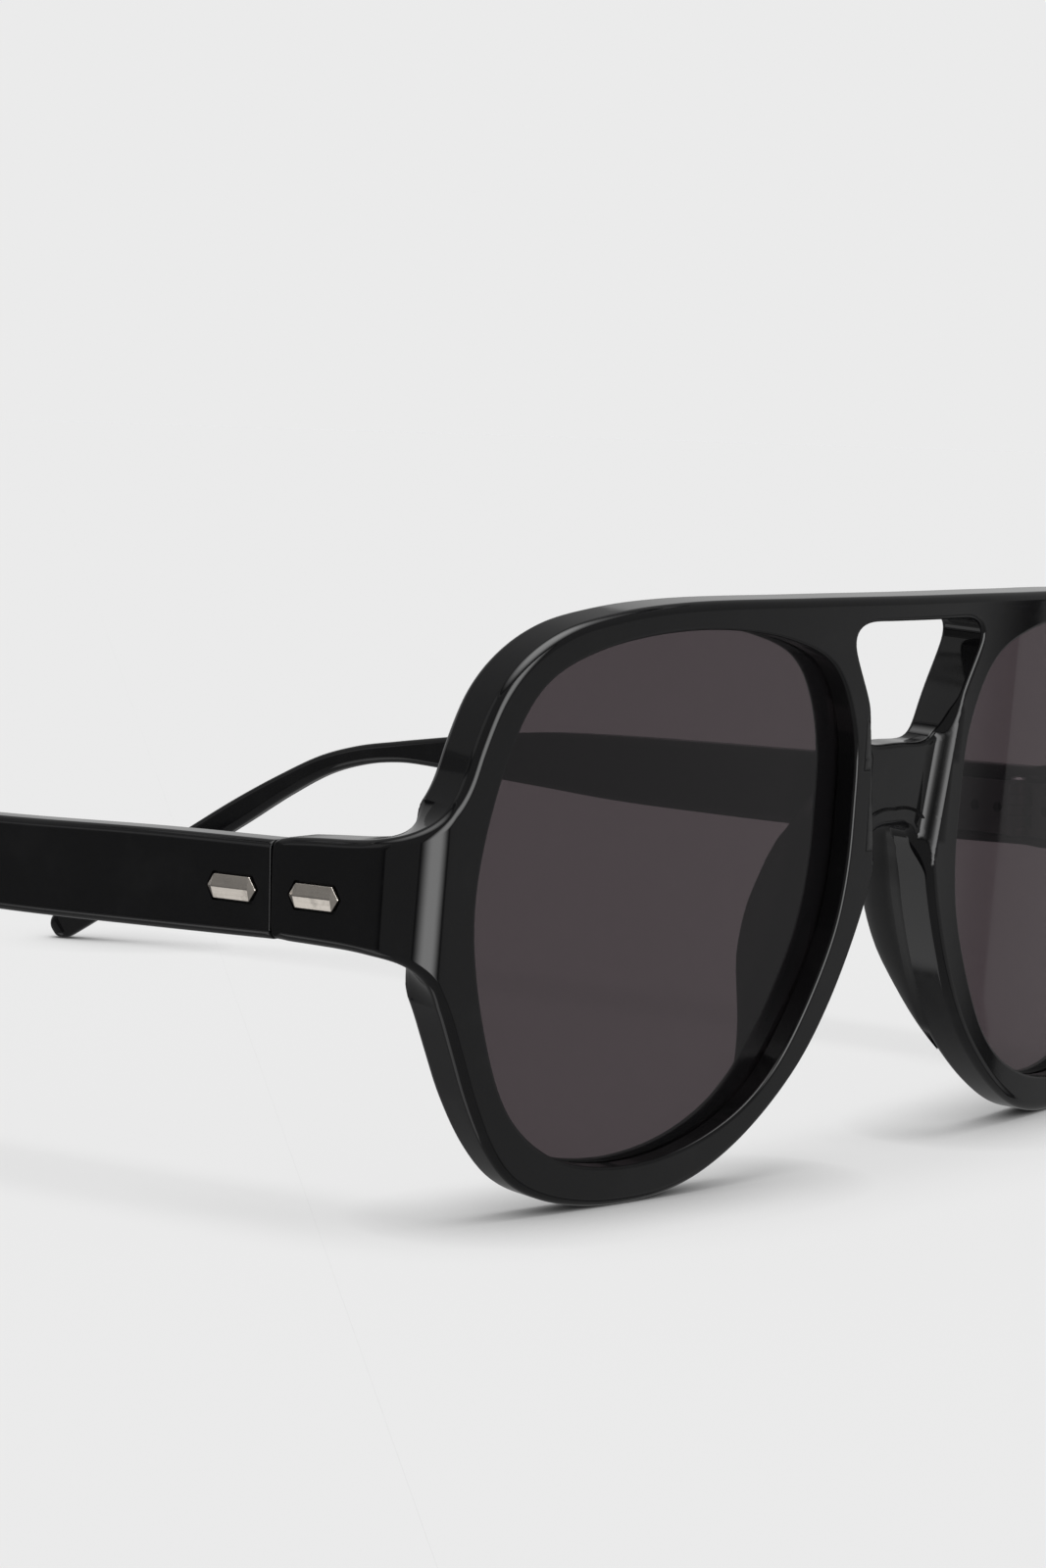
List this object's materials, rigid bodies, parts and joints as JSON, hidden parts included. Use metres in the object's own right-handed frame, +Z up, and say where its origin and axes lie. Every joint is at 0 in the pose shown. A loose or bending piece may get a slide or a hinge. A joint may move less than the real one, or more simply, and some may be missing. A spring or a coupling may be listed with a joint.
{
  "type": "aviator sunglasses",
  "caption": "Black double-bridge aviator sunglasses with tinted lenses, folding temples and hexagonal metal plaques at the hinges.",
  "frame": {"origin": "middle of the pair's bounding box, on the surface it stands on with its temples open", "axes": "+Z up, -Y towards where the front faces, +Y back along the temples, +X towards the wearer's left"},
  "size_m": [0.1384, 0.1702, 0.0555],
  "materials": {
    "black_acetate": "tumbled and polished to a high gloss",
    "smoke_lens": "polished, smoke grey tint that lets through about 8 per cent",
    "plaque_metal": "polished nickel silver with a warm tone",
    "hinge_steel": "barrel-polished"
  },
  "bodies": {
    "front": {"front_frame": "black_acetate", "lens_left": "smoke_lens", "lens_right": "smoke_lens", "nose_pad_left": "black_acetate", "nose_pad_right": "black_acetate", "front_hinge_leaf_left": "hinge_steel", "front_hinge_leaf_right": "hinge_steel", "hinge_screw_left": "hinge_steel", "hinge_screw_right": "hinge_steel", "front_plaque_left": "plaque_metal", "front_plaque_right": "plaque_metal"},
    "left_temple": {"temple_left": "black_acetate", "temple_core_left": "hinge_steel", "temple_hinge_leaf_left": "hinge_steel", "temple_plaque_left": "plaque_metal"},
    "right_temple": {"temple_right": "black_acetate", "temple_core_right": "hinge_steel", "temple_hinge_leaf_right": "hinge_steel", "temple_plaque_right": "plaque_metal"}
  },
  "joints": [
    {"name": "left_temple_fold", "type": "hinge", "parent": "front", "child": "left_temple", "pos_m": [0.06009, -0.06012, 0.02895], "axis": [0, 0, 1], "range_deg": [0, 93]},
    {"name": "right_temple_fold", "type": "hinge", "parent": "front", "child": "right_temple", "pos_m": [-0.06009, -0.06012, 0.02895], "axis": [0, 0, -1], "range_deg": [0, 87]}
  ]
}
